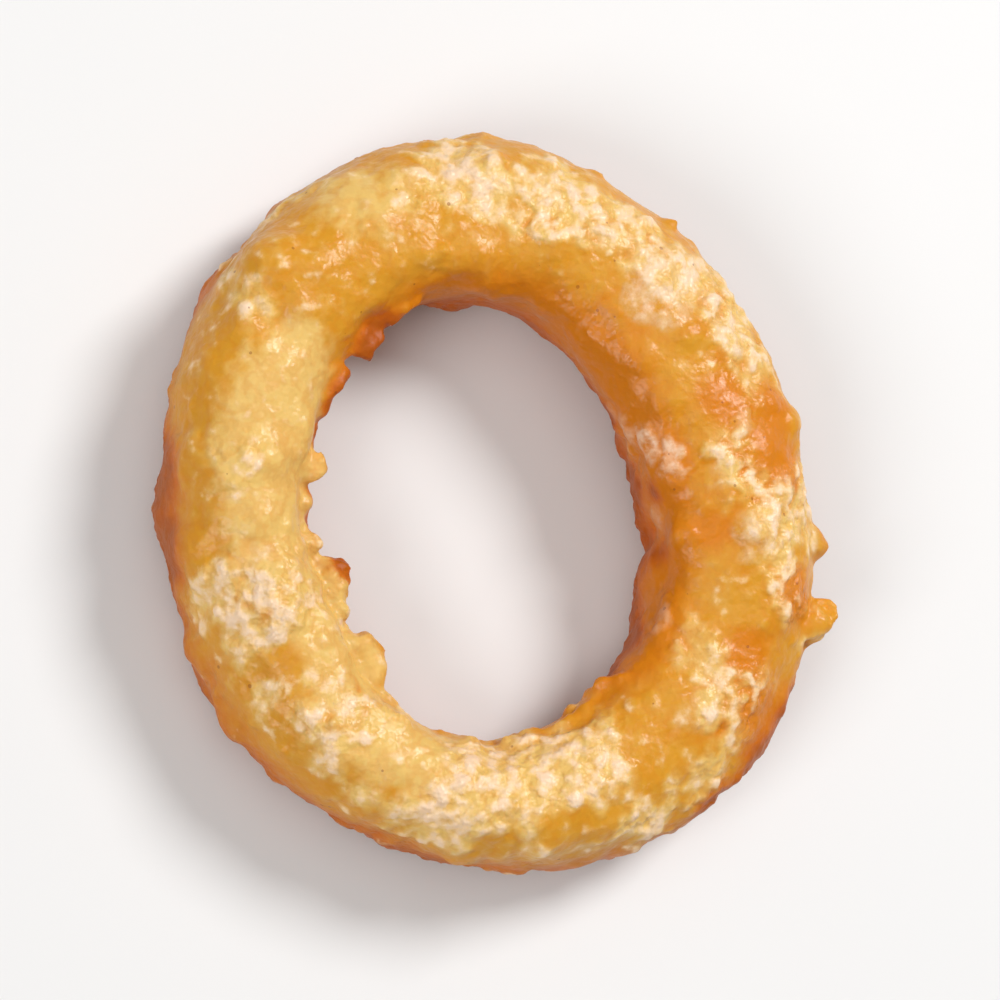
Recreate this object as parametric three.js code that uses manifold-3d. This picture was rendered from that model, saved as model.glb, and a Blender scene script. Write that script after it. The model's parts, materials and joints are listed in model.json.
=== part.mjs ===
// A battered and deep-fried onion ring, lying flat with its best side up.
// Millimetres, +Z up. The origin is on the surface that the ring rests on, under the middle of the ring.
// An angle round the ring runs anticlockwise from +X, seen from above. An angle round the section starts
// at the outside of the ring (0) and passes over the top (90), the wall of the hole (180) and the
// underside (270).
import * as THREE from "three";
import { mergeVertices } from "three/addons/utils/BufferGeometryUtils.js";
import { ImprovedNoise } from "three/addons/math/ImprovedNoise.js";
import Module from "manifold-3d";

// Centreline of the ring: a slightly egg-shaped loop, warped so that three stretches of it lie lowest
const CENTRE_RADIUS = 27.3;
const OVAL = { amount: 2.3, at: 104 };
const EGG = { amount: 0.2, at: 97 };
const WARP = { amount: 0.35, at: 35 };

// Section of the ring: half its width across the wall, and half its height
const HALF_WIDTH = 7.7;
const THICKER_SIDE = { amount: 1.3, at: 34 };
const THIN_STRETCH = { amount: 1.3, at: 268, reach: 38 };
const HALF_HEIGHT = 7.4;
const TALLER_SIDE = { amount: 0.4, at: 75 };
const SECTION_SQUARENESS = 2.35;
const WALL_LEAN = 0.13;

// Facets of the surface, round the ring and round its section
const STEPS_ROUND = 144;
const STEPS_SECTION = 34;

// Waves of the batter: their length, how far they stand in or out, and where in the noise they are taken
const WAVES = [
  { length: 17, height: 0.9, shift: 0 },
  { length: 8, height: 0.45, shift: 7.3 },
];

// Crinkles of the crust, deep in some patches and faint in the smooth ones between them
const CRINKLES = { length: 3.3, height: 1.0, faintest: 0.25, shift: 53.1 };
const PATCHES = { length: 15, edge: 0.35, shift: 31.7 };

// Blisters and craters, scattered over the crust
const BLISTERS = { count: 150, smallest: 1.7, largest: 4.2, steepness: 0.27 };
const CRATERS = { count: 26, smallest: 1.6, largest: 3.0, steepness: 0.24 };
const SCATTER_SEED = 20;
const SPOT_HEIGHT_SPREAD = 0.4;
const SPOT_ROUNDNESS = 1.2;

// Lip that the batter formed as it ran off the lower right of the ring
const LIP = { from: 296, to: 346, section: 14, height: 1.5, width: 2.2 };

// Depth to which the underside's lowest lumps were pressed flat by what the ring rests on
const PRESSED_FLAT = 1.1;

// Crags of batter: where they stand, how far they reach out, and their half sizes along and across the ring
const CRAGS = [
  { round: 130, section: 158, reach: 1.9, along: 1.5, across: 1.2 },
  { round: 141, section: 156, reach: 1.0, along: 1.7, across: 1.3 },
  { round: 152, section: 154, reach: 1.0, along: 1.7, across: 1.3 },
  { round: 169, section: 155, reach: 1.9, along: 1.5, across: 1.2 },
  { round: 183, section: 156, reach: 1.1, along: 1.1, across: 0.9 },
  { round: 195, section: 152, reach: 1.0, along: 1.2, across: 1.1 },
  { round: 207, section: 156, reach: 2.7, along: 1.9, across: 1.1 },
  { round: 214, section: 153, reach: 1.0, along: 1.0, across: 1.0 },
  { round: 229, section: 153, reach: 2.7, along: 1.3, across: 1.0 },
  { round: 234, section: 156, reach: 3.0, along: 1.3, across: 0.9 },
  { round: 262, section: 150, reach: 1.2, along: 1.3, across: 1.3 },
  { round: 283, section: 155, reach: 0.8, along: 1.4, across: 1.2 },
  { round: 307, section: 160, reach: 1.2, along: 1.6, across: 1.2 },
  { round: 358, section: 10, reach: 2.0, along: 1.5, across: 1.4 },
  { round: 342, section: 14, reach: 2.4, along: 1.8, across: 1.6 },
  { round: 59, section: 24, reach: 1.1, along: 0.9, across: 0.8 },
  { round: 89, section: 10, reach: 0.6, along: 1.9, across: 1.4 },
  { round: 30, section: 200, reach: 1.3, along: 1.6, across: 1.3 },
];
const CRAG_ROOT = 1.7;
const CRAG_FLARE = { amount: 1.15, power: 1.5 };
const CRAG_LEAN = { amount: 0.5, change: 3.7 };
const CRAG_ROUGHNESS = { amount: 0.3, lumps: 2.3 };

// Points closer together than this are one point
const MERGE_DISTANCE = 1e-4;

const GOLDEN_BATTER = 0xdc9c45;

const noise = new ImprovedNoise();
const radians = THREE.MathUtils.degToRad;

// Repeatable random numbers from 0 to 1, by a linear congruential generator.
function seededRandom(seed) {
  const [multiplier, increment, modulus] = [1664525, 1013904223, 2 ** 32];
  let state = seed;
  return () => {
    state = (state * multiplier + increment) % modulus;
    return state / modulus;
  };
}

// A swell of the given height on one side of the ring.
const swell = ({ amount, at }, angle, lobes = 1) =>
  amount * Math.cos(lobes * (angle - radians(at)));

// 1 on a stretch of the ring, falling to 0 on either side of it.
function stretch({ at, reach }, angle) {
  const away = Math.atan2(Math.sin(angle - radians(at)), Math.cos(angle - radians(at)));
  return Math.exp(-((away / radians(reach)) ** 2));
}

function centreline(angle) {
  const radius = CENTRE_RADIUS + swell(OVAL, angle, 2) + swell(EGG, angle, 3);
  return new THREE.Vector3(
    radius * Math.cos(angle),
    radius * Math.sin(angle),
    swell(WARP, angle, 3),
  );
}

// Point on the smooth ring, before any relief.
function smoothPoint(angle, section) {
  const halfWidth =
    HALF_WIDTH + swell(THICKER_SIDE, angle) - THIN_STRETCH.amount * stretch(THIN_STRETCH, angle);
  const halfHeight = HALF_HEIGHT + swell(TALLER_SIDE, angle);
  const reach =
    (Math.abs(Math.cos(section) / halfWidth) ** SECTION_SQUARENESS +
      Math.abs(Math.sin(section) / halfHeight) ** SECTION_SQUARENESS) **
    (-1 / SECTION_SQUARENESS);
  const up = reach * Math.sin(section);
  const outward = reach * Math.cos(section) - WALL_LEAN * up;
  return centreline(angle).add(
    new THREE.Vector3(outward * Math.cos(angle), outward * Math.sin(angle), halfHeight + up),
  );
}

// Direction out of the smooth ring.
function smoothNormal(angle, section) {
  const step = 0.01;
  const round = smoothPoint(angle + step, section).sub(smoothPoint(angle - step, section));
  const over = smoothPoint(angle, section + step).sub(smoothPoint(angle, section - step));
  return round.cross(over).normalize();
}

// Spots of many sizes at random places on the crust, more small ones than large.
function scatter({ count, smallest, largest, steepness }, random) {
  return Array.from({ length: count }, () => {
    const radius = smallest + (largest - smallest) * random() ** 2;
    return {
      centre: smoothPoint(2 * Math.PI * random(), 2 * Math.PI * random()),
      radius,
      height: radius * steepness * (1 + SPOT_HEIGHT_SPREAD * (2 * random() - 1)),
    };
  });
}

const random = seededRandom(SCATTER_SEED);
const blisters = scatter(BLISTERS, random);
const craters = scatter(CRATERS, random);

// Height of the tallest spot that covers a point, each spot being a round dome.
function domes(spots, point) {
  return spots.reduce((tallest, { centre, radius, height }) => {
    const share = point.distanceToSquared(centre) / radius ** 2;
    return share < 1 ? Math.max(tallest, height * (1 - share) ** SPOT_ROUNDNESS) : tallest;
  }, 0);
}

// Height of the lip at a place on the ring, 0 away from it.
function lipHeight(angle, section, point) {
  const along = (angle - radians(LIP.from)) / radians(LIP.to - LIP.from);
  if (along <= 0 || along >= 1) return 0;
  const away = point.distanceTo(smoothPoint(angle, radians(LIP.section)));
  return LIP.height * Math.sin(Math.PI * along) * Math.exp(-((away / LIP.width) ** 2));
}

// Smooth noise from -1 to 1 at a point, with waves of the given length.
function waves(point, { length, shift }) {
  const q = point.clone().divideScalar(length).addScalar(shift);
  return noise.noise(q.x, q.y, q.z);
}

// How far the crust stands out of the smooth ring at a place.
function relief(angle, section, point) {
  const swells = WAVES.reduce((sum, wave) => sum + wave.height * waves(point, wave), 0);
  const patch = THREE.MathUtils.smoothstep(waves(point, PATCHES), -PATCHES.edge, PATCHES.edge);
  const crinkle = CRINKLES.height * Math.abs(waves(point, CRINKLES));
  return (
    swells +
    crinkle * THREE.MathUtils.lerp(CRINKLES.faintest, 1, patch) +
    domes(blisters, point) -
    domes(craters, point) +
    lipHeight(angle, section, point)
  );
}

// Point on the crust itself, relief included.
function crustPoint(angle, section) {
  const point = smoothPoint(angle, section);
  return point.addScaledVector(smoothNormal(angle, section), relief(angle, section, point.clone()));
}

// The crust as one closed surface, with its lowest lumps pressed flat.
function crustGeometry() {
  const points = [];
  for (let i = 0; i < STEPS_ROUND; i++)
    for (let j = 0; j < STEPS_SECTION; j++)
      points.push(crustPoint((2 * Math.PI * i) / STEPS_ROUND, (2 * Math.PI * j) / STEPS_SECTION));
  const floor = Math.min(...points.map((p) => p.z)) + PRESSED_FLAT;
  for (const p of points) p.z = Math.max(p.z, floor);

  const at = (i, j) => (i % STEPS_ROUND) * STEPS_SECTION + (j % STEPS_SECTION);
  const faces = [];
  for (let i = 0; i < STEPS_ROUND; i++)
    for (let j = 0; j < STEPS_SECTION; j++) {
      const [a, b, c, d] = [at(i, j), at(i + 1, j), at(i + 1, j + 1), at(i, j + 1)];
      faces.push(...((i + j) % 2 ? [a, b, c, a, c, d] : [a, b, d, b, c, d]));
    }
  const geometry = new THREE.BufferGeometry();
  geometry.setAttribute(
    "position",
    new THREE.Float32BufferAttribute(points.flatMap((p) => p.toArray()), 3),
  );
  return geometry.setIndex(faces);
}

// A rough lump that points out of the crust, wider and wider down to its root inside the crust.
function cragGeometry({ round, section, reach, along, across }) {
  const [angle, turn] = [radians(round), radians(section)];
  const out = smoothNormal(angle, turn);
  const tangent = new THREE.Vector3(-Math.sin(angle), Math.cos(angle), 0);
  const side = out.clone().cross(tangent).normalize();
  const forward = side.clone().cross(out);
  const lean = CRAG_LEAN.amount * Math.sin(CRAG_LEAN.change * round);
  const geometry = new THREE.IcosahedronGeometry(1, 1);
  const position = geometry.getAttribute("position");
  const p = new THREE.Vector3();
  for (let i = 0; i < position.count; i++) {
    p.fromBufferAttribute(position, i);
    const lump = p.clone().multiplyScalar(CRAG_ROUGHNESS.lumps);
    p.multiplyScalar(1 + CRAG_ROUGHNESS.amount * noise.noise(lump.x + round, lump.y, lump.z));
    const flare = 1 + CRAG_FLARE.amount * Math.max(0, (1 - p.z) / 2) ** CRAG_FLARE.power;
    position.setXYZ(i, p.x * flare + lean * (1 + p.z), p.y * flare, p.z);
  }
  const halfLength = (reach + CRAG_ROOT) / 2;
  const place = new THREE.Matrix4().makeBasis(
    forward.multiplyScalar(along),
    side.multiplyScalar(across),
    out.clone().multiplyScalar(halfLength),
  );
  place.setPosition(crustPoint(angle, turn).addScaledVector(out, reach - halfLength));
  return geometry.applyMatrix4(place);
}

const wasm = await Module();
wasm.setup();

// A closed geometry as a solid.
function solid(geometry) {
  const bare = geometry.clone();
  bare.deleteAttribute("normal");
  bare.deleteAttribute("uv");
  const merged = mergeVertices(bare, MERGE_DISTANCE);
  return new wasm.Manifold(
    new wasm.Mesh({
      numProp: 3,
      vertProperties: merged.getAttribute("position").array,
      triVerts: new Uint32Array(merged.index.array),
    }),
  );
}

// A solid as a geometry.
function geometryOf(body) {
  const { vertProperties, triVerts } = body.getMesh();
  const geometry = new THREE.BufferGeometry();
  geometry.setAttribute("position", new THREE.BufferAttribute(vertProperties, 3));
  geometry.setIndex(new THREE.BufferAttribute(triVerts, 1));
  return geometry;
}

// The whole ring as one geometry, standing on z = 0 and centred on the origin.
function ringGeometry() {
  const body = CRAGS.reduce((sum, crag) => sum.add(solid(cragGeometry(crag))), solid(crustGeometry()));
  const geometry = geometryOf(body);
  geometry.computeBoundingBox();
  const middle = geometry.boundingBox.getCenter(new THREE.Vector3());
  geometry.translate(-middle.x, -middle.y, -geometry.boundingBox.min.z);
  geometry.computeVertexNormals();
  return geometry;
}

const ring = new THREE.Mesh(
  ringGeometry(),
  new THREE.MeshStandardMaterial({ color: GOLDEN_BATTER, roughness: 0.55, metalness: 0 }),
);
ring.name = "onion_ring";

const group = new THREE.Group();
group.add(ring);
export default group;
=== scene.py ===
# The looks of a battered, deep-fried onion ring that lies flat under soft studio light.
# Metres, +Z up. An angle round the ring runs anticlockwise from +X, seen from above. An angle round the
# section starts at the outside of the ring (0) and passes over the top (90), the wall of the hole (180)
# and the underside (270). Both are in degrees.
import json
import math
import random

import bmesh
import bpy
import numpy as np
from mathutils import Matrix, Vector, kdtree, noise
from mathutils.bvhtree import BVHTree

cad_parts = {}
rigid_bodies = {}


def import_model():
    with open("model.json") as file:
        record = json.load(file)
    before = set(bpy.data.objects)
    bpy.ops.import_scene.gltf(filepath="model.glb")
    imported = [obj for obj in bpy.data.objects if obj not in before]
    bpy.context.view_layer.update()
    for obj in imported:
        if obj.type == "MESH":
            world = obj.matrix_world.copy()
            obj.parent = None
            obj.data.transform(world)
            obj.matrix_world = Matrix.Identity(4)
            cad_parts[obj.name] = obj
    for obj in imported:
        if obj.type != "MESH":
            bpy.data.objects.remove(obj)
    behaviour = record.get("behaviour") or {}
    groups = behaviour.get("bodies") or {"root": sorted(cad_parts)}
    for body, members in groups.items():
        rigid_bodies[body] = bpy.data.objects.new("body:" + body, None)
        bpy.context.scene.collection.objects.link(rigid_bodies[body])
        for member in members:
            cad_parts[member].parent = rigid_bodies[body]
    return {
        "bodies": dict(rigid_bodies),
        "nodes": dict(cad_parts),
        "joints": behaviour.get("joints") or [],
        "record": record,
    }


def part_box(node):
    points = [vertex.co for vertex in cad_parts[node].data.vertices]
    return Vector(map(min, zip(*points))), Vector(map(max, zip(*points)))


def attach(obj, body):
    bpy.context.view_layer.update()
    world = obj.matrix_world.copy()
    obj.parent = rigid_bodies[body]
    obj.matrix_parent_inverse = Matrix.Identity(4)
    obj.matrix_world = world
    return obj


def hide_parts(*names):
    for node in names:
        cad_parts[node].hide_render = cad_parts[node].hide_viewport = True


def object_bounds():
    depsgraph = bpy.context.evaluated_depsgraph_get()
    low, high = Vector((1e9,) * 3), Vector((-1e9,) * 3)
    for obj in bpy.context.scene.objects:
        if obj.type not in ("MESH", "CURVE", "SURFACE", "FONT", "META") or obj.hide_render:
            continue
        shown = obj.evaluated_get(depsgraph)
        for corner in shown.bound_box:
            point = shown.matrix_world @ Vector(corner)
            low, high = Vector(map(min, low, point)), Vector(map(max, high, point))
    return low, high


MM = 0.001
NODE = "onion_ring"
BODY = "root"
SEED = 7

# Middle line of the ring: its mean radius, how oval it is, which way the oval leans, and its height
CENTRE_RADIUS = 27.3 * MM
OVAL_AMOUNT = 2.3 * MM
OVAL_AT = math.radians(104)
MID_HEIGHT = 8.0 * MM

# Points of the solid that lie closer than this become one point
WELD = 0.01 * MM

# Fine grid of the crust, and the smoothing that takes out the flat facets under it: how many times, and
# how much of its own place each point keeps
VOXEL = 0.31 * MM
SMOOTHINGS = 9
SMOOTHING_KEEPS = 0.5

# Roughness of a lump: its depth, its fineness, and the width of the noise that it is taken from
LUMP_ROUGHNESS = 0.45
LUMP_FINENESS = 1.6
LUMP_FIELD = 99

# Frills of thin batter along the wall of the hole: stretch of the ring, angle of the section, number of
# lumps, and how far they reach into the hole in mm
FRILLS = [
    {"from": 116, "to": 150, "section": 160, "lumps": 24, "reach": (0.3, 1.2)},
    {"from": 150, "to": 196, "section": 156, "lumps": 40, "reach": (0.3, 1.2)},
    {"from": 196, "to": 242, "section": 155, "lumps": 48, "reach": (0.4, 1.5)},
    {"from": 255, "to": 305, "section": 160, "lumps": 22, "reach": (0.2, 0.8)},
]
# Lumps of a frill: spread to either side of its angle, sizes, root below the reach, and share that is sunk
FRILL_SPREAD = 9
FRILL_HALF_LENGTH = (0.6 * MM, 1.2 * MM)
FRILL_HALF_THICKNESS = (0.45 * MM, 0.8 * MM)
FRILL_ROOT = 0.4 * MM
FRILL_SUNK = 0.42

# Curled crumbs on the outside: beads in a loop round the tip of a crag. The loop's radius, how far its
# middle lies inside the crust and how far it is raised are in mm.
CURLS = [
    {"round": 342, "section": 14, "radius": 1.35, "inside": 1.0, "raised": 0.9},
    {"round": 358, "section": 12, "radius": 0.9, "inside": 0.9, "raised": 0.8},
]
CURL_BEADS = 9
BEAD_DISORDER = 0.4
BEAD_RADIUS = (0.5 * MM, 0.75 * MM)
BEAD_SUNK = 0.5

# Blunt crumbs that stand out into the hole: angle round, angle of the section, reach in mm
WALL_CRUMBS = [
    (232, 152, 2.2), (235, 150, 2.8), (237, 157, 2.4), (206, 155, 1.6), (124, 160, 1.6), (128, 154, 1.4),
]
WALL_CRUMB_HALF_LENGTH = (0.7 * MM, 1.1 * MM)
WALL_CRUMB_HALF_THICKNESS = (0.6 * MM, 0.9 * MM)
WALL_CRUMB_SUNK = 0.6

# Crumbs that fried onto the crust here and there, each a little longer than it is high
CRUMBS = 26
CRUMB_RADIUS = (0.35 * MM, 0.85 * MM)
CRUMB_LENGTH = (0.8, 1.5)
CRUMB_WIDTH = (0.8, 1.3)
CRUMB_SECTIONS = (10, 170)
CRUMB_SUNK = 0.6

# Pale, crumbly patches of the crust, smooth pale ones and smooth golden ones: angle round, angle of the
# section, reach in mm
CRUMBLY = [
    (103, 78, 6.0), (85, 98, 5.0), (71, 88, 5.0), (54, 94, 6.0), (46, 74, 3.5), (37, 68, 4.5), (22, 66, 3.5),
    (7, 112, 3.2), (2, 70, 3.5), (351, 80, 5.0), (338, 58, 3.5), (311, 87, 6.5), (322, 110, 4.0),
    (284, 120, 5.0), (268, 93, 6.0), (256, 81, 6.0), (230, 76, 6.0), (205, 62, 5.0), (202, 80, 6.5),
    (178, 78, 3.5), (146, 50, 3.0),
]
SMOOTH_PALE = [
    (148, 100, 2.5), (156, 104, 5.0), (168, 98, 5.5), (182, 104, 5.5), (196, 104, 5.0), (212, 102, 4.5),
    (228, 112, 4.5), (245, 92, 5.0), (262, 100, 4.5), (120, 66, 4.5),
]
GOLDEN = [
    (105, 120, 5.0), (80, 137, 6.5), (58, 145, 6.5), (45, 130, 6.0), (30, 112, 5.0), (10, 72, 3.5),
    (356, 140, 5.0), (333, 143, 6.0), (304, 134, 6.0), (137, 90, 5.5), (158, 91, 2.6), (217, 62, 3.0),
    (331, 86, 4.5), (150, 38, 3.2), (165, 28, 2.8), (180, 26, 2.8), (192, 26, 2.6),
]
# How much the golden patches take from the smooth pale ones, and those from the crumbly ones
GOLDEN_OVER_PALE = 0.5
PALE_OVER_CRUMBLY = 0.5
# How crumbly the underside is, and between which slopes it begins: 0 is upright and 1 faces down
CRUMBLY_UNDER = 0.45
UNDERSIDE = (0.0, 0.6)
# Noise that makes the patches ragged: length of its waves, share, and which part of the noise it is
RAGGED = [
    {"length": 7 * MM, "share": 1.0, "shift": 3.1},
    {"length": 2.6 * MM, "share": 0.6, "shift": 5.7},
]
RAGGEDNESS = 1.1
# Sums of all these between which the crust passes from smooth to crumbly
CRUMBLY_SHOWS = (-0.05, 1.0)

# Where the batter of the hole's wall is thinner: angle round, angle of the section, reach in mm
THINNER_WALL = [
    (85, 178, 5.0), (98, 178, 5.0), (143, 178, 5.0), (158, 178, 5.0), (175, 178, 5.0), (192, 178, 5.0),
    (230, 178, 5.0), (333, 178, 5.0), (348, 178, 5.0),
]
THINNER_BY = 0.75 * MM

# Where the crust is orange and where it is brown: angle round, angle of the section, reach in mm. On the
# wall of the hole and along its edges these are mostly painted shade, elsewhere the batter's own colour.
ORANGE = [
    (25, 104, 3.0), (10, 70, 3.6), (40, 172, 5.0), (60, 176, 5.0), (85, 176, 5.0), (110, 172, 4.0),
    (5, 176, 5.0), (335, 172, 4.0), (310, 168, 4.0), (342, 50, 3.5), (320, 40, 4.0), (20, 60, 2.5),
    (350, 125, 2.0), (328, 80, 2.5),
]
BROWNED_AND_SHADED = [
    (129, 160, 3.0), (135, 160, 2.8), (149, 153, 1.8), (157, 154, 1.9), (166, 157, 1.2), (316, 14, 3.2),
    (325, 10, 2.6), (306, 12, 2.4), (173, 157, 1.3), (181, 157, 1.2), (190, 157, 1.2), (205, 156, 1.4),
    (38, 176, 1.8), (7, 178, 2.2), (2, 158, 1.5), (341, 166, 2.0), (316, 172, 2.0), (303, 172, 1.8),
    (177, 0, 3.5), (190, 0, 3.5),
]

# Large blisters: angle round, angle of the section, half length along the ring, half width and height in
# mm, and paleness of the top, which is pale skin with a painted highlight on it
LARGE_BLISTERS = [
    (29, 161, 2.0, 1.1, 0.35, 1.0), (21, 151, 2.6, 1.3, 0.45, 1.6), (13, 141, 2.6, 1.3, 0.35, 1.5),
    (351, 98, 3.0, 2.4, 0.4, 0.7), (322, 150, 1.6, 1.4, 0.3, 0.7), (55, 103, 4.6, 4.0, 0.35, 1.1),
    (36, 76, 2.6, 2.0, 0.25, 0.8), (45, 72, 1.8, 1.5, 0.2, 0.9), (38, 168, 1.2, 1.0, 0.25, 0.5),
    (18, 93, 1.4, 1.3, 0.25, 0.6), (2, 70, 1.8, 1.5, 0.25, 0.4), (71, 95, 1.9, 1.4, 0.2, 0.6),
    (85, 112, 1.5, 1.1, 0.2, 0.7), (354, 164, 1.3, 1.2, 0.25, 0.8), (311, 90, 2.8, 2.2, 0.25, 0.4),
    (7, 114, 2.2, 1.8, 0.25, 0.3), (200, 70, 3.0, 2.2, 0.25, 0.4), (230, 80, 2.6, 2.0, 0.2, 0.4),
]
# Unevenness of a large blister: length of its waves and their depth, both in half widths
BLISTER_WAVE = 0.8
BLISTER_UNEVENNESS = 0.5
# How far round its middle a large blister is worked out, in half lengths
BLISTER_NEARBY = 2.2
# How pale a large blister is from its middle to its edge: the less pale middle, its size, and the flatness
BLISTER_HOLLOW = 0.5
BLISTER_HOLLOW_SIZE = 0.15
BLISTER_FLATNESS = 0.6
# Rim round a large blister: where it is, on the scale on which the blister ends at 1, and its width
RIM_AT = 1.4
RIM_WIDTH = 0.5

# Scattered spots: how many, smallest and largest radius, and height for each unit of radius
BUBBLES = {"count": 210, "radius": (1.0 * MM, 2.4 * MM), "steepness": 0.16}
SMALL_BUBBLES = {"count": 1100, "radius": (0.5 * MM, 1.25 * MM), "steepness": 0.2}
PITS = {"count": 120, "radius": (0.5 * MM, 1.1 * MM), "steepness": -0.2}
# Chance of a spot where the crust is smooth, against 1 where it is crumbly
SPOTS_IN_SMOOTH = 0.1
# Power that makes small spots the most common, and the range of heights of spots that are alike
SPOT_SIZE_POWER = 2
SPOT_HEIGHTS = (0.6, 1.3)
DOME_POWER = 1.15

# Wrinkles of the crust: length, height, and how much of it the smooth patches keep
WRINKLES = [
    {"length": 4.6 * MM, "height": 0.45 * MM, "in_smooth": 0.5},
    {"length": 2.2 * MM, "height": 0.5 * MM, "in_smooth": 0.25},
    {"length": 1.1 * MM, "height": 0.34 * MM, "in_smooth": 0.3},
]
# How far the wrinkles bend and over what length, both in lengths of the wrinkle
WRINKLE_BEND = 0.7
BEND_LENGTH = 1.6
# Softness of the creases, and the level of the folds that is neither raised nor sunk
CREASE_SOFTNESS = 0.06
FOLD_LEVEL = 0.2
# Steps between the parts of the noise that the wrinkles, their bends and the axes use
WRINKLE_STEP = 11.3
BEND_STEP = 2.9
AXIS_STEP = 3.7

# Height above the floor at which the relief of the crust is full
LIFT_OFF_FLOOR = 1.2 * MM

# Relief that the colours follow: how often it is averaged to find the level round a point, and its range
RELIEF_SURROUNDINGS = 30
RELIEF_RANGE = 0.5 * MM

# Direction of the part of the ring that is called its right here
RIGHT_SIDE = math.radians(35)

# Where the wall of the hole is orange, partly the thin batter's colour and partly painted shade: how far it
# faces the hole and how far up, each from -1 to 1
WALL_FACES_HOLE = (0.45, 0.98)
WALL_FACES_UP = (-1.0, 0.1)
# How orange the wall is everywhere, how much more on the right as painted shade where the wall faces away
# from the key lamp, and the rims and the orange patches
WALL_ORANGE = 0.2
WALL_SHADE_RIGHT = 0.7
RIM_ORANGE = 0.25
PATCH_ORANGE = 0.95

# Painted shade, with some browning, along the edges in the hole and on the outside where the camera sees the
# surface edge-on, by the angle of the section: where each begins, how much sooner or later it does so on the
# right, where it is full, and where it fades away underneath
HOLE_EDGE_BEGINS = 162
HOLE_EDGE_SOONER = 12
HOLE_EDGE_FULL = 184
HOLE_EDGE_FADES = (300, 330)
OUTER_EDGE_BEGINS = 44
OUTER_EDGE_LATER = 30
OUTER_EDGE_FULL = -14
OUTER_EDGE_FADES = (-75, -25)
# Turn of both edges round the section at +X, and back at -X
EDGE_TURN = 15
# How dark the painted shade and browning of the edges are, how that changes towards the right, and how brown
# and shaded the patches are
HOLE_EDGE_SHADE_AND_BROWN = 0.9
HOLE_EDGE_SHADE_AND_BROWN_RIGHT = 0.4
OUTER_EDGE_SHADE_AND_BROWN = 0.85
OUTER_EDGE_SHADE_AND_BROWN_RIGHT = -0.1
PATCH_SHADE_AND_BROWN = 1.2
MOST_SHADE_AND_BROWN = 1.5
# How brown the underside is, as painted shade with some browning, between which slopes it begins, and the
# noise that blotches it
UNDER_SHADE_AND_BROWN = 0.35
UNDER_SHADE_AND_BROWN_SLOPES = (0.1, 0.8)
UNDER_BLOTCH = 6 * MM
UNDER_BLOTCH_SHIFT = 8.8

# Names under which the shares of each point are kept on the crust for its material
MASKS = "masks"
TONES = "tones"

# Patterns of the crust's colour: size of the features, detail and roughness
PATTERNS = {
    "mottle": (1.5 * MM, 4.0, 0.7),
    "grain": (0.55 * MM, 2.0, 0.6),
    "broad": (6 * MM, 2.0, 0.6),
    "blobs": (1.8 * MM, 1.5, 0.5),
}
# Thin orange veins: how far apart, and half their width on the scale of the noise
VEIN_SPACING = 3.4 * MM
VEIN_WIDTH = 0.09
# Dark specks: how far apart, size of the areas with more of them, largest size, and strength
SPECK_SPACING = 2.6 * MM
SPECK_AREAS = 9 * MM
SPECK_SIZE = 0.13
SPECK_STRENGTH = 0.5

# Fine facets of the surface: sizes, share of the finer ones, depth, and how much the smooth patches keep
FACET_SIZE = 0.9 * MM
FINE_FACET_SIZE = 0.42 * MM
FACET_DETAIL = 1.0
FACET_ROUGHNESS = 0.4
FINE_FACET_SHARE = 0.28
FACET_DEPTH = 0.42 * MM
FACETS_IN_SMOOTH = 0.35

# Oily gloss: size of the glossier spots, range of the noise that counts, and the roughness it stands for
GLOSS_SIZE = 1.3 * MM
GLOSS_DETAIL = 2.0
GLOSS_NOISE = (0.35, 0.7)
GLOSS_ROUGHNESS = (0.28, 0.46)
SHADE_AND_BROWN_LESS_GLOSSY = 0.3
SHINE = 0.33

# Light that passes through the batter: its share, how far each colour goes, and the scale of that
GLOW = 0.5
GLOW_REACH = (1.0, 0.55, 0.25)
GLOW_SCALE = 1.3 * MM

# Camera: above the ring, a little to its left and below its middle
CAMERA_LEFT = math.radians(15)
CAMERA_BELOW = math.radians(8)
CAMERA_NEAREST = 10 * MM
LENS = 150
SENSOR = 36
VIEW_WIDTH = 100 * MM

# Lamps: direction from the ring, distance and size in metres, and power
LAMPS = [
    {"name": "key", "towards": (0.62, 0.50, 0.85), "distance": 0.9, "size": 0.32, "watts": 6.0},
    {"name": "overhead", "towards": (-0.15, 0.1, 1.0), "distance": 1.1, "size": 1.0, "watts": 2.2},
    {"name": "fill", "towards": (-0.75, -0.45, 0.75), "distance": 1.0, "size": 0.5, "watts": 3.9},
]
WORLD_STRENGTH = 0.22

# Floor: half its width, size of its faint blotches, and roughness
FLOOR_HALF = 1.5
FLOOR_BLOTCH = 90 * MM
FLOOR_DETAIL = 2.0
FLOOR_ROUGHNESS = 0.7


def srgb(text):
    """The linear colour of six hexadecimal digits."""
    parts = [int(text[i : i + 2], 16) / 255 for i in (0, 2, 4)]
    return tuple(p / 12.92 if p <= 0.04045 else ((p + 0.055) / 1.055) ** 2.4 for p in parts) + (1.0,)


BLISTER_WHITE = srgb("f4d5b8")
CREAM = srgb("f5d09f")
PALE = srgb("e7bd6a")
GOLD = srgb("d79526")
BRIGHT_ORANGE = srgb("d37804")
DEEP_ORANGE = srgb("c55e04")
RED_BROWN = srgb("8c3e08")
FLOOR_GREY = srgb("e8e7e6")
FLOOR_WHITE = srgb("ecebea")
WORLD_WHITE = srgb("ffffff")

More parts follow.
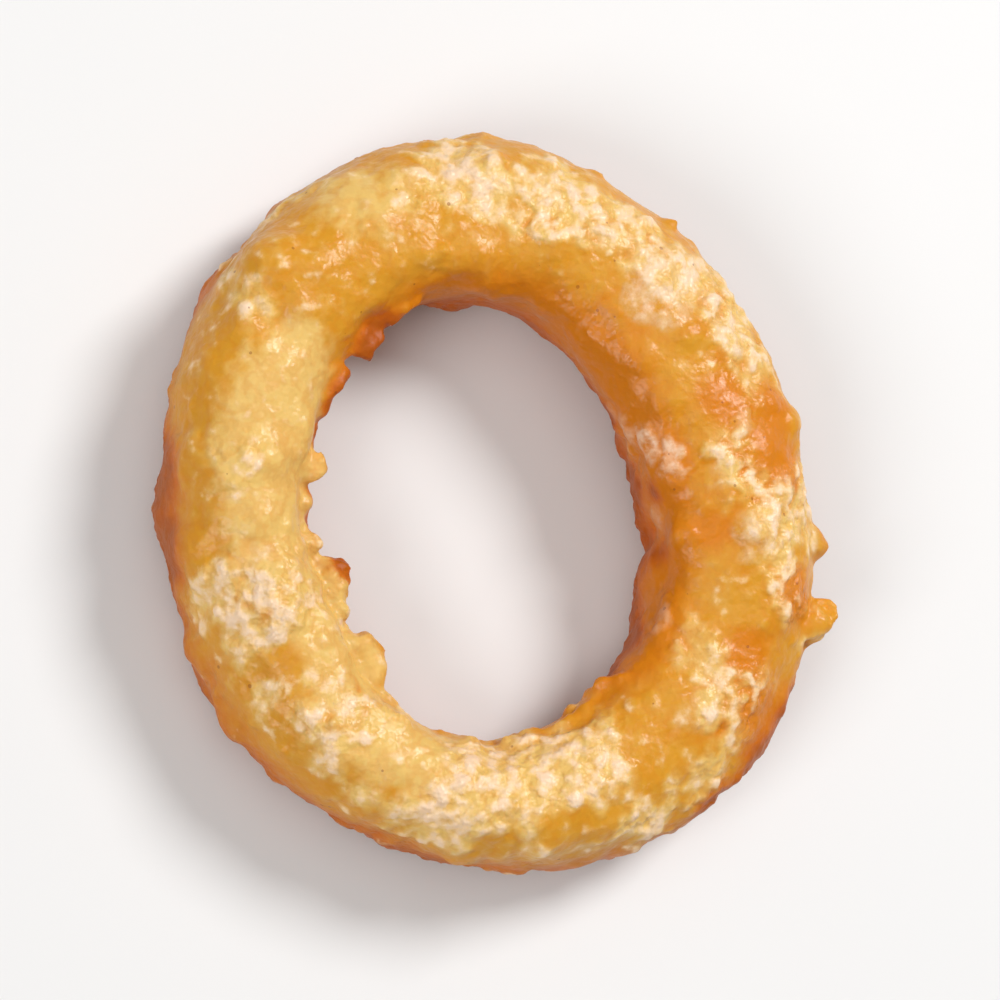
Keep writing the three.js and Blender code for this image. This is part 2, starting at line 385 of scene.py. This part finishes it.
# What makes the crust pale, and what makes the raised tops of its small bubbles paler, as dried skin and as
# painted glints and highlights: shares of the patterns
PALENESS = {
    "crumbly": 0.85,
    "relief": 0.5,
    "blobs": 0.9,
    "mottle": 0.5,
    "broad": 0.4,
    "pale": 0.85,
    "shade_and_brown": -0.5,
}
DRY_SKIN_AND_GLINTS = {
    "relief": 0.8,
    "blobs": 2.1,
    "mottle": 0.8,
    "grain": 0.4,
    "crumbly": 0.55,
    "orange": -0.5,
    "shade_and_brown": -0.4,
}
GRAINY_DRY_SKIN_AND_GLINTS = {**DRY_SKIN_AND_GLINTS, "grain": 0.9}

# Coats of colour over the golden crust, the lowest first. A coat begins to show where the sum of its
# patterns, each times its share, passes the first of two numbers, and is full from the second on. It covers
# a share of what lies under it, and one of them lies on the tops of the large blisters alone.
COATS = [
    {"colour": PALE, "shares": PALENESS, "shows": (1.1, 1.82), "covers": 1.0},
    # Bright orange where the orange share is, with painted shade on the right of the hole's wall among it
    {
        "colour": BRIGHT_ORANGE,
        "shares": {"orange": 1.0, "broad": 0.7, "relief": -0.45, "mottle": 0.3},
        "shows": (0.3, 1.1),
        "covers": 0.9,
    },
    # Deep orange where the brown share is: browning, with painted shade on the edges and the underside
    {
        "colour": DEEP_ORANGE,
        "shares": {"shade_and_brown": 1.0, "broad": 0.5, "mottle": 0.5, "relief": -0.3},
        "shows": (0.45, 1.4),
        "covers": 0.9,
    },
    {"colour": BRIGHT_ORANGE, "shares": {"veins": 1.0}, "shows": (0.0, VEIN_WIDTH), "covers": 0.22},
    # Cream and then blister white on the raised tops: pale dried skin, partly painted glints and highlights
    {"colour": CREAM, "shares": DRY_SKIN_AND_GLINTS, "shows": (2.28, 2.83), "covers": 0.9},
    {"colour": BLISTER_WHITE, "shares": GRAINY_DRY_SKIN_AND_GLINTS, "shows": (2.85, 3.35), "covers": 0.7},
    # Blister white on the tops of the large blisters alone: pale skin with a painted highlight
    {
        "colour": BLISTER_WHITE,
        "shares": {"mottle": 0.8, "blobs": 0.5, "grain": 0.4},
        "shows": (0.6, 1.15),
        "covers": 0.75,
        "only_on": "tops",
    },
    # Red-brown: browning, with painted shade on the edges and the underside
    {"colour": RED_BROWN, "shares": {"shade_and_brown": 1.0, "mottle": 0.6}, "shows": (1.05, 1.6), "covers": 0.5},
]


def centreline(angle):
    """Point on the middle line of the ring."""
    radius = CENTRE_RADIUS + OVAL_AMOUNT * math.cos(2 * (angle - OVAL_AT))
    return Vector((radius * math.cos(angle), radius * math.sin(angle), MID_HEIGHT))


class Crust:
    """The solid ring, on whose surface things are placed by their angles."""

    def __init__(self, mesh):
        self.bm = bmesh.new()
        self.bm.from_mesh(mesh)
        bmesh.ops.remove_doubles(self.bm, verts=self.bm.verts, dist=WELD)
        self.tree = BVHTree.FromBMesh(self.bm)

    def place(self, round_deg, section_deg):
        """Point on the surface, and the directions along the ring, across it and out of it."""
        angle = math.radians(round_deg)
        turn = math.radians(section_deg)
        outward = Vector((math.cos(angle), math.sin(angle), 0))
        ray = outward * math.cos(turn) + Vector((0, 0, 1)) * math.sin(turn)
        point = self.tree.ray_cast(centreline(angle), ray)[0]
        along = Vector((-math.sin(angle), math.cos(angle), 0))
        across = ray.cross(along).normalized()
        return point, along, across, ray

    def add_lump(self, place, half_sizes, rng, sunk):
        """A rough lump that is part of the crust, with half sizes along, across and out of it."""
        point, along, across, out = place
        frame = Matrix([a * s for a, s in zip((along, across, out), half_sizes)]).transposed().to_4x4()
        frame.translation = point + out * half_sizes[2] * (1 - 2 * sunk)
        made = bmesh.ops.create_icosphere(self.bm, subdivisions=2, radius=1.0)["verts"]
        shift = Vector([rng.uniform(0, LUMP_FIELD) for _ in range(3)])
        for v in made:
            v.co = frame @ (v.co * (1 + LUMP_ROUGHNESS * noise.noise(v.co * LUMP_FINENESS + shift)))


def add_frills(crust, rng):
    """Frills of thin batter along the wall of the hole."""
    for frill in FRILLS:
        for i in range(frill["lumps"]):
            share = (i + rng.random()) / frill["lumps"]
            round_deg = frill["from"] + share * (frill["to"] - frill["from"])
            section = frill["section"] + rng.uniform(-FRILL_SPREAD, FRILL_SPREAD)
            reach = rng.uniform(*frill["reach"]) * MM
            half_length = rng.uniform(*FRILL_HALF_LENGTH)
            half_thickness = rng.uniform(*FRILL_HALF_THICKNESS)
            half_sizes = (half_length, half_thickness, FRILL_ROOT + reach / 2)
            crust.add_lump(crust.place(round_deg, section), half_sizes, rng, FRILL_SUNK)


def add_curls(crust, rng):
    """Small curled crumbs on the outside of the ring."""
    for curl in CURLS:
        point, along, across, out = crust.place(curl["round"], curl["section"])
        upward = across if across.z > 0 else -across
        for i in range(CURL_BEADS):
            turn = 2 * math.pi * (i + BEAD_DISORDER * rng.random()) / CURL_BEADS
            offset = (along * math.cos(turn) + out * math.sin(turn)) * curl["radius"]
            centre = point + (offset - out * curl["inside"] + upward * curl["raised"]) * MM
            size = rng.uniform(*BEAD_RADIUS)
            crust.add_lump((centre, along, across, out), (size, size, size), rng, BEAD_SUNK)


def add_wall_crumbs(crust, rng):
    """Blunt crumbs along the wall of the hole."""
    for round_deg, section, reach in WALL_CRUMBS:
        half_length = rng.uniform(*WALL_CRUMB_HALF_LENGTH)
        half_thickness = rng.uniform(*WALL_CRUMB_HALF_THICKNESS)
        half_sizes = (half_length, half_thickness, reach / 2 * MM)
        crust.add_lump(crust.place(round_deg, section), half_sizes, rng, WALL_CRUMB_SUNK)


def add_crumbs(crust, rng):
    """Small crumbs all round the upper half of the ring."""
    for _ in range(CRUMBS):
        size = rng.uniform(*CRUMB_RADIUS)
        half_length = size * rng.uniform(*CRUMB_LENGTH)
        half_width = size * rng.uniform(*CRUMB_WIDTH)
        place = crust.place(rng.uniform(0, 360), rng.uniform(*CRUMB_SECTIONS))
        crust.add_lump(place, (half_length, half_width, size), rng, CRUMB_SUNK)


def remeshed(bm):
    """The lumps and the ring as one fine surface."""
    mesh = bpy.data.meshes.new("coarse_crust")
    bm.to_mesh(mesh)
    obj = bpy.data.objects.new("coarse_crust", mesh)
    bpy.context.scene.collection.objects.link(obj)
    modifier = obj.modifiers.new("voxels", "REMESH")
    modifier.mode = "VOXEL"
    modifier.voxel_size = VOXEL
    fine = bpy.data.meshes.new_from_object(obj.evaluated_get(bpy.context.evaluated_depsgraph_get()))
    bpy.data.objects.remove(obj)
    return fine


def read(items, name, width, kind=np.float32):
    """A row of numbers for each point or edge of a mesh."""
    values = np.zeros(len(items) * width, kind)
    items.foreach_get(name, values)
    return values.reshape(-1, width)


def points_of(mesh):
    return read(mesh.vertices, "co", 3).astype(float)


def normals_of(mesh):
    return read(mesh.vertices, "normal", 3).astype(float)


def set_points(mesh, points):
    mesh.vertices.foreach_set("co", points.astype(np.float32).ravel())
    mesh.update()


def spread(values, edges, times):
    """Values averaged with their neighbours' a number of times."""
    count = np.bincount(edges.ravel(), minlength=len(values))
    if values.ndim > 1:
        count = count[:, None]
    for _ in range(times):
        total = np.zeros_like(values)
        np.add.at(total, edges[:, 0], values[edges[:, 1]])
        np.add.at(total, edges[:, 1], values[edges[:, 0]])
        values = SMOOTHING_KEEPS * values + (1 - SMOOTHING_KEEPS) * total / count
    return values


def noise_at(points, length, shift):
    """Smooth noise from about -1 to 1, with waves of a length. A shift picks another part of the noise."""
    return np.array([noise.noise(p) for p in (points / length + shift).tolist()])


def smoothstep(values, low, high):
    """0 below the first limit, 1 above the second, and a soft passage between them."""
    share = np.clip((values - low) / (high - low), 0, 1)
    return share * share * (3 - 2 * share)


def patches(crust, points, spots):
    """How near each point is to the spots: 1 at the middle of one, more where some overlap."""
    total = np.zeros(len(points))
    for round_deg, section, reach in spots:
        centre = np.array(crust.place(round_deg, section)[0])
        total += np.exp(-((points - centre) ** 2).sum(1) / (reach * MM) ** 2)
    return total


def ring_angles(points):
    """Angle round the ring, and how far the section faces outward and up there, of each point."""
    angle = np.arctan2(points[:, 1], points[:, 0])
    radius = CENTRE_RADIUS + OVAL_AMOUNT * np.cos(2 * (angle - OVAL_AT))
    outward = np.hypot(points[:, 0], points[:, 1]) - radius
    up = points[:, 2] - MID_HEIGHT
    reach = np.hypot(outward, up)
    return angle, outward / reach, up / reach


def thin_wall(crust, mesh):
    """Moves parts of the hole's wall outward, so that the hole is a little wider there."""
    points = points_of(mesh)
    away = points * (1, 1, 0)
    away /= np.linalg.norm(away, axis=1)[:, None]
    share = patches(crust, points, THINNER_WALL).clip(0, 1)
    set_points(mesh, points + THINNER_BY * away * share[:, None])


def crumbly_and_pale(crust, points, up):
    """How crumbly each point is, and how much it lies in a smooth pale patch."""
    near_crumbly = patches(crust, points, CRUMBLY)
    near_golden = patches(crust, points, GOLDEN)
    near_pale = (patches(crust, points, SMOOTH_PALE) - GOLDEN_OVER_PALE * near_golden).clip(0, 1)
    ragged = sum(part["share"] * noise_at(points, part["length"], part["shift"]) for part in RAGGED)
    total = near_crumbly - near_golden - PALE_OVER_CRUMBLY * near_pale
    total += smoothstep(-up, *UNDERSIDE) * CRUMBLY_UNDER
    total += RAGGEDNESS * ragged
    return smoothstep(total, *CRUMBLY_SHOWS), near_pale


def dome(share):
    """Height of a round dome at a squared share of its radius."""
    return (1 - share) ** DOME_POWER


def large_blisters(crust, points):
    """Height of the large blisters, paleness of their tops as pale skin with a painted highlight, and 1
    along the rim of each.
    """
    height = np.zeros(len(points))
    tops = np.zeros(len(points))
    rims = np.zeros(len(points))
    for round_deg, section, half_length, half_width, top, paleness in LARGE_BLISTERS:
        centre, along, across, _ = crust.place(round_deg, section)
        offset = points - np.array(centre)
        close = (offset**2).sum(1) < (BLISTER_NEARBY * half_length * MM) ** 2
        uneven = noise_at(points[close], BLISTER_WAVE * half_width * MM, round_deg)
        offset[close] += (uneven * BLISTER_UNEVENNESS * half_width * MM)[:, None]
        share = (offset @ np.array(along) / (half_length * MM)) ** 2
        share += (offset @ np.array(across) / (half_width * MM)) ** 2
        inside = (share < 1) & close
        shape = dome(share[inside])
        not_hollow = 1 - BLISTER_HOLLOW * np.exp(-share[inside] / BLISTER_HOLLOW_SIZE)
        height[inside] = np.maximum(height[inside], top * MM * shape)
        tops[inside] = np.maximum(tops[inside], paleness * shape**BLISTER_FLATNESS * not_hollow)
        rim = np.exp(-(((share[close] - RIM_AT) / RIM_WIDTH) ** 2))
        rims[close] = np.maximum(rims[close], rim)
    return height, tops, rims


def scattered(points, spots, crumbly, rng):
    """Height of many small round spots, most of them in the crumbly patches."""
    tree = kdtree.KDTree(len(points))
    for i, p in enumerate(points.tolist()):
        tree.insert(p, i)
    tree.balance()
    height = np.zeros(len(points))
    smallest, largest = spots["radius"]
    made = 0
    while made < spots["count"]:
        centre = rng.randrange(len(points))
        if rng.random() > SPOTS_IN_SMOOTH + (1 - SPOTS_IN_SMOOTH) * crumbly[centre]:
            continue
        made += 1
        radius = smallest + (largest - smallest) * rng.random() ** SPOT_SIZE_POWER
        top = radius * spots["steepness"] * rng.uniform(*SPOT_HEIGHTS)
        for _, i, away in tree.find_range(points[centre].tolist(), radius):
            here = top * dome((away / radius) ** 2)
            if abs(here) > abs(height[i]):
                height[i] = here
    return height


def bent(points, length, shift):
    """Points moved about by noise, so that what is worked out at them runs in crooked lines."""
    moves = [noise_at(points, length * BEND_LENGTH, shift + AXIS_STEP * axis) for axis in (1, 2, 3)]
    return points + WRINKLE_BEND * length * np.stack(moves, 1)


def wrinkles(points, crumbly):
    """Rounded folds of the crust with sharp creases between them."""
    height = np.zeros(len(points))
    for i, wrinkle in enumerate(WRINKLES):
        length = wrinkle["length"]
        waves = noise_at(bent(points, length, BEND_STEP * i), length, WRINKLE_STEP * (i + 1))
        fold = np.hypot(waves, CREASE_SOFTNESS) - FOLD_LEVEL
        kept = wrinkle["in_smooth"] + (1 - wrinkle["in_smooth"]) * crumbly
        height += wrinkle["height"] * fold * kept
    return height


def displaced(mesh, height):
    """Moves the surface out by a height, less and less towards the floor."""
    points = points_of(mesh)
    held = smoothstep(points[:, 2], 0, LIFT_OFF_FLOOR)
    set_points(mesh, points + normals_of(mesh) * (height * held)[:, None])


def fitted(mesh, low, high):
    """Stretches the surface a little so that it fills the solid's box and no more."""
    points = points_of(mesh)
    points[:, 2] = np.maximum(points[:, 2], 0)
    now_low = points.min(0)
    now_high = points.max(0)
    set_points(mesh, low + (points - now_low) * (high - low) / (now_high - now_low))


def relief_of(height, edges):
    """How far each point stands out from its surroundings: 0.5 is level with them."""
    relief = height - spread(height, edges, RELIEF_SURROUNDINGS)
    return np.clip(0.5 + relief / RELIEF_RANGE, 0, 1)


def on_the_right(angle):
    return 0.5 + 0.5 * np.cos(angle - RIGHT_SIDE)


def orange_of(crust, points, rims):
    """How orange each point is: the wall of the hole, with painted shade most on the right, the rims of the
    blisters and some patches.
    """
    angle, outward, up = ring_angles(points)
    wall = smoothstep(-outward, *WALL_FACES_HOLE) * smoothstep(up, *WALL_FACES_UP)
    orange = wall * (WALL_ORANGE + WALL_SHADE_RIGHT * on_the_right(angle))
    orange += RIM_ORANGE * rims + PATCH_ORANGE * patches(crust, points, ORANGE)
    return orange.clip(0, 1)


def shade_and_brown_of(crust, points):
    """How brown and shaded each point is: painted shade with some browning along the edges in the hole and
    outside and on the underside, and some patches.
    """
    angle, outward, up = ring_angles(points)
    right = on_the_right(angle)
    turn = EDGE_TURN * np.cos(angle)
    section = np.degrees(np.arctan2(up, outward)) % 360
    from_outside = (section + 180) % 360 - 180

    hole_edge_begins = HOLE_EDGE_BEGINS - HOLE_EDGE_SOONER * right
    hole_edge = smoothstep(section - turn, hole_edge_begins, HOLE_EDGE_FULL)
    hole_edge *= 1 - smoothstep(section, *HOLE_EDGE_FADES)
    outer_edge_begins = OUTER_EDGE_BEGINS - OUTER_EDGE_LATER * right
    outer_edge = smoothstep(turn - from_outside, -outer_edge_begins, -OUTER_EDGE_FULL)
    outer_edge *= smoothstep(from_outside, *OUTER_EDGE_FADES)
    blotches = noise_at(points, UNDER_BLOTCH, UNDER_BLOTCH_SHIFT)

    shade_and_brown = (HOLE_EDGE_SHADE_AND_BROWN + HOLE_EDGE_SHADE_AND_BROWN_RIGHT * np.cos(angle).clip(0)) * hole_edge
    shade_and_brown += (OUTER_EDGE_SHADE_AND_BROWN + OUTER_EDGE_SHADE_AND_BROWN_RIGHT * right) * outer_edge
    shade_and_brown += smoothstep(-up, *UNDER_SHADE_AND_BROWN_SLOPES) * UNDER_SHADE_AND_BROWN * (1 + blotches)
    shade_and_brown += PATCH_SHADE_AND_BROWN * patches(crust, points, BROWNED_AND_SHADED)
    return shade_and_brown.clip(0, MOST_SHADE_AND_BROWN)


def store(mesh, name, *shares):
    """Keeps three shares of each point on the surface, for its material to read."""
    kept = mesh.color_attributes.new(name, "FLOAT_COLOR", "POINT")
    values = np.stack([*shares, np.ones(len(shares[0]))], 1)
    kept.data.foreach_set("color", values.astype(np.float32).ravel())


def make_crust(node):
    """The solid ring with its lumps, blisters, wrinkles and bubbles, as one piece."""
    rng = random.Random(SEED)
    crust = Crust(node.data)
    low, high = (np.array(corner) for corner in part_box(NODE))
    add_frills(crust, rng)
    add_curls(crust, rng)
    add_wall_crumbs(crust, rng)
    add_crumbs(crust, rng)
    mesh = remeshed(crust.bm)
    edges = read(mesh.edges, "vertices", 2, np.int32)
    set_points(mesh, spread(points_of(mesh), edges, SMOOTHINGS))
    thin_wall(crust, mesh)

    points = points_of(mesh)
    _, _, up = ring_angles(points)
    crumbly, pale = crumbly_and_pale(crust, points, up)
    height, tops, rims = large_blisters(crust, points)
    height += wrinkles(points, crumbly)
    height += scattered(points, BUBBLES, crumbly, rng) + scattered(points, PITS, crumbly, rng)
    height -= height.mean()
    displaced(mesh, height)
    fine = scattered(points, SMALL_BUBBLES, crumbly, rng)
    displaced(mesh, fine)
    fitted(mesh, low, high)
    store(mesh, MASKS, crumbly, relief_of(height + fine, edges), tops)
    store(mesh, TONES, orange_of(crust, points, rims), shade_and_brown_of(crust, points), pale)

    obj = bpy.data.objects.new("crust", mesh)
    bpy.context.scene.collection.objects.link(obj)
    for polygon in mesh.polygons:
        polygon.use_smooth = True
    mesh.materials.append(crust_material())
    return obj


# Places of the colour sockets on a mix node
COLOUR_A = 6
COLOUR_B = 7
COLOUR_RESULT = 2


class Shader:
    """Short ways to make and link a material's nodes."""

    def __init__(self, name):
        self.material = bpy.data.materials.new(name)
        self.material.use_nodes = True
        self.tree = self.material.node_tree
        self.tree.nodes.clear()
        self.places = self.node("ShaderNodeTexCoord").outputs["Object"]

    def node(self, kind, **settings):
        made = self.tree.nodes.new(kind)
        for key, value in settings.items():
            setattr(made, key, value)
        return made

    def put(self, value, socket):
        """Links a socket to another one, or sets it to a value."""
        if isinstance(value, bpy.types.NodeSocket):
            self.tree.links.new(value, socket)
        else:
            socket.default_value = value

    def combined(self, operation, a, b=0.0):
        """One value made of one or two others by a math node."""
        made = self.node("ShaderNodeMath", operation=operation)
        self.put(a, made.inputs[0])
        self.put(b, made.inputs[1])
        return made.outputs[0]

    def times(self, a, b):
        return self.combined("MULTIPLY", a, b)

    def plus(self, a, b):
        return self.combined("ADD", a, b)

    def blend(self, patterns, shares):
        """The sum of some of the patterns, each times its share."""
        total = None
        for name, share in shares.items():
            part = self.times(patterns[name], share)
            total = part if total is None else self.plus(total, part)
        return total

    def shares(self, name):
        """The three shares kept on the surface under a name."""
        split = self.node("ShaderNodeSeparateColor")
        self.put(self.node("ShaderNodeAttribute", attribute_name=name).outputs["Color"], split.inputs[0])
        return split.outputs

    def mix(self, factor, a, b):
        """The first colour where the factor is 0, the second where it is 1."""
        made = self.node("ShaderNodeMix", data_type="RGBA")
        self.put(factor, made.inputs["Factor"])
        self.put(a, made.inputs[COLOUR_A])
        self.put(b, made.inputs[COLOUR_B])
        return made.outputs[COLOUR_RESULT]

    def scaled(self, value, low, high, to_low=0.0, to_high=1.0, passage="SMOOTHSTEP"):
        """A value taken from one range to another."""
        made = self.node("ShaderNodeMapRange", interpolation_type=passage)
        self.put(value, made.inputs["Value"])
        made.inputs["From Min"].default_value = low
        made.inputs["From Max"].default_value = high
        made.inputs["To Min"].default_value = to_low
        made.inputs["To Max"].default_value = to_high
        return made.outputs["Result"]

    def noise(self, size, detail=3.0, roughness=0.6):
        """Noise from 0 to 1 whose features are the given size."""
        made = self.node("ShaderNodeTexNoise")
        self.put(self.places, made.inputs["Vector"])
        made.inputs["Scale"].default_value = 1 / size
        made.inputs["Detail"].default_value = detail
        made.inputs["Roughness"].default_value = roughness
        return made.outputs["Fac"]

    def from_nearest_dot(self, spacing):
        """Distance from the nearest of many scattered dots."""
        made = self.node("ShaderNodeTexVoronoi", feature="F1")
        self.put(self.places, made.inputs["Vector"])
        made.inputs["Scale"].default_value = 1 / spacing
        return made.outputs["Distance"]

    def finish(self, shader):
        self.put(shader.outputs["BSDF"], self.node("ShaderNodeOutputMaterial").inputs["Surface"])
        return self.material


def crust_patterns(s):
    """Everything that the look of the crust depends on, by name."""
    patterns = {name: s.noise(*numbers) for name, numbers in PATTERNS.items()}
    from_vein = s.combined("ABSOLUTE", s.combined("SUBTRACT", s.noise(VEIN_SPACING), 0.5))
    patterns["veins"] = s.combined("SUBTRACT", VEIN_WIDTH, from_vein)
    patterns["crumbly"], patterns["relief"], patterns["tops"] = s.shares(MASKS)
    # The brown share holds painted shade along the edges and the underside as well as browned spots
    patterns["orange"], patterns["shade_and_brown"], patterns["pale"] = s.shares(TONES)
    return patterns


def crust_colour(s, patterns):
    """The golden crust under its coats of colour and its specks."""
    colour = GOLD
    for coat in COATS:
        amount = s.times(s.scaled(s.blend(patterns, coat["shares"]), *coat["shows"]), coat["covers"])
        if "only_on" in coat:
            amount = s.times(amount, patterns[coat["only_on"]])
        colour = s.mix(amount, colour, coat["colour"])
    size = s.times(s.noise(SPECK_AREAS), SPECK_SIZE)
    specks = s.combined("LESS_THAN", s.from_nearest_dot(SPECK_SPACING), size)
    return s.mix(s.times(specks, SPECK_STRENGTH), colour, RED_BROWN)


def crust_facets(s, crumbly):
    """Fine facets, which are deeper where the crust is crumbly."""
    coarse = s.noise(FACET_SIZE, FACET_DETAIL, FACET_ROUGHNESS)
    fine = s.noise(FINE_FACET_SIZE, FACET_DETAIL, FACET_ROUGHNESS)
    facets = s.plus(coarse, s.times(fine, FINE_FACET_SHARE))
    kept = s.plus(s.times(crumbly, 1 - FACETS_IN_SMOOTH), FACETS_IN_SMOOTH)
    bump = s.node("ShaderNodeBump")
    s.put(s.times(facets, kept), bump.inputs["Height"])
    bump.inputs["Strength"].default_value = 1.0
    bump.inputs["Distance"].default_value = FACET_DEPTH
    return bump.outputs["Normal"]


def crust_roughness(s, shade_and_brown):
    """Oily spots, and duller ones where the crust is brown and shaded."""
    spots = s.plus(s.noise(GLOSS_SIZE, GLOSS_DETAIL), s.times(shade_and_brown, SHADE_AND_BROWN_LESS_GLOSSY))
    return s.scaled(spots, *GLOSS_NOISE, *GLOSS_ROUGHNESS, passage="LINEAR")


def crust_material():
    s = Shader("golden_crust")
    patterns = crust_patterns(s)
    shader = s.node("ShaderNodeBsdfPrincipled")
    shader.subsurface_method = "BURLEY"
    s.put(crust_colour(s, patterns), shader.inputs["Base Color"])
    s.put(crust_roughness(s, patterns["shade_and_brown"]), shader.inputs["Roughness"])
    s.put(crust_facets(s, patterns["crumbly"]), shader.inputs["Normal"])
    shader.inputs["Subsurface Weight"].default_value = GLOW
    shader.inputs["Subsurface Radius"].default_value = GLOW_REACH
    shader.inputs["Subsurface Scale"].default_value = GLOW_SCALE
    shader.inputs["Specular IOR Level"].default_value = SHINE
    return s.finish(shader)


def floor_material():
    s = Shader("pale_floor")
    shader = s.node("ShaderNodeBsdfPrincipled")
    colour = s.mix(s.noise(FLOOR_BLOTCH, FLOOR_DETAIL), FLOOR_GREY, FLOOR_WHITE)
    s.put(colour, shader.inputs["Base Color"])
    shader.inputs["Roughness"].default_value = FLOOR_ROUGHNESS
    return s.finish(shader)


def make_floor():
    mesh = bpy.data.meshes.new("floor")
    corners = [
        (-FLOOR_HALF, -FLOOR_HALF, 0),
        (FLOOR_HALF, -FLOOR_HALF, 0),
        (FLOOR_HALF, FLOOR_HALF, 0),
        (-FLOOR_HALF, FLOOR_HALF, 0),
    ]
    mesh.from_pydata(corners, [], [(0, 1, 2, 3)])
    mesh.materials.append(floor_material())
    floor = bpy.data.objects.new("floor", mesh)
    bpy.context.scene.collection.objects.link(floor)


def make_camera(target):
    """A camera that looks down on the ring from the side that is shown."""
    toward = Vector((
        -math.sin(CAMERA_LEFT) * math.cos(CAMERA_BELOW),
        -math.sin(CAMERA_BELOW),
        math.cos(CAMERA_LEFT) * math.cos(CAMERA_BELOW),
    ))
    right = Vector((0, 1, 0)).cross(toward).normalized()
    up = toward.cross(right)
    data = bpy.data.cameras.new("camera")
    data.lens = LENS
    data.sensor_width = SENSOR
    data.clip_start = CAMERA_NEAREST
    camera = bpy.data.objects.new("camera", data)
    bpy.context.scene.collection.objects.link(camera)
    pose = Matrix((right, up, toward)).transposed().to_4x4()
    pose.translation = target + toward * (VIEW_WIDTH * LENS / SENSOR)
    camera.matrix_world = pose
    bpy.context.scene.camera = camera


def make_lamp(lamp, target):
    """A round, soft lamp that faces the target."""
    data = bpy.data.lights.new(lamp["name"], "AREA")
    data.shape = "DISK"
    data.size = lamp["size"]
    data.energy = lamp["watts"]
    obj = bpy.data.objects.new(lamp["name"], data)
    bpy.context.scene.collection.objects.link(obj)
    toward = Vector(lamp["towards"]).normalized()
    obj.location = target + toward * lamp["distance"]
    obj.rotation_euler = toward.to_track_quat("Z", "Y").to_euler()


def make_lights(target):
    for lamp in LAMPS:
        make_lamp(lamp, target)
    world = bpy.data.worlds.new("studio")
    world.use_nodes = True
    background = world.node_tree.nodes["Background"]
    background.inputs["Color"].default_value = WORLD_WHITE
    background.inputs["Strength"].default_value = WORLD_STRENGTH
    bpy.context.scene.world = world
    bpy.context.scene.view_settings.view_transform = "Standard"


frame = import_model()
cad_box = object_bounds()
ring = make_crust(frame["nodes"][NODE])
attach(ring, BODY)
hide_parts(NODE)
middle = (cad_box[0] + cad_box[1]) / 2
make_floor()
make_camera(middle)
make_lights(middle)
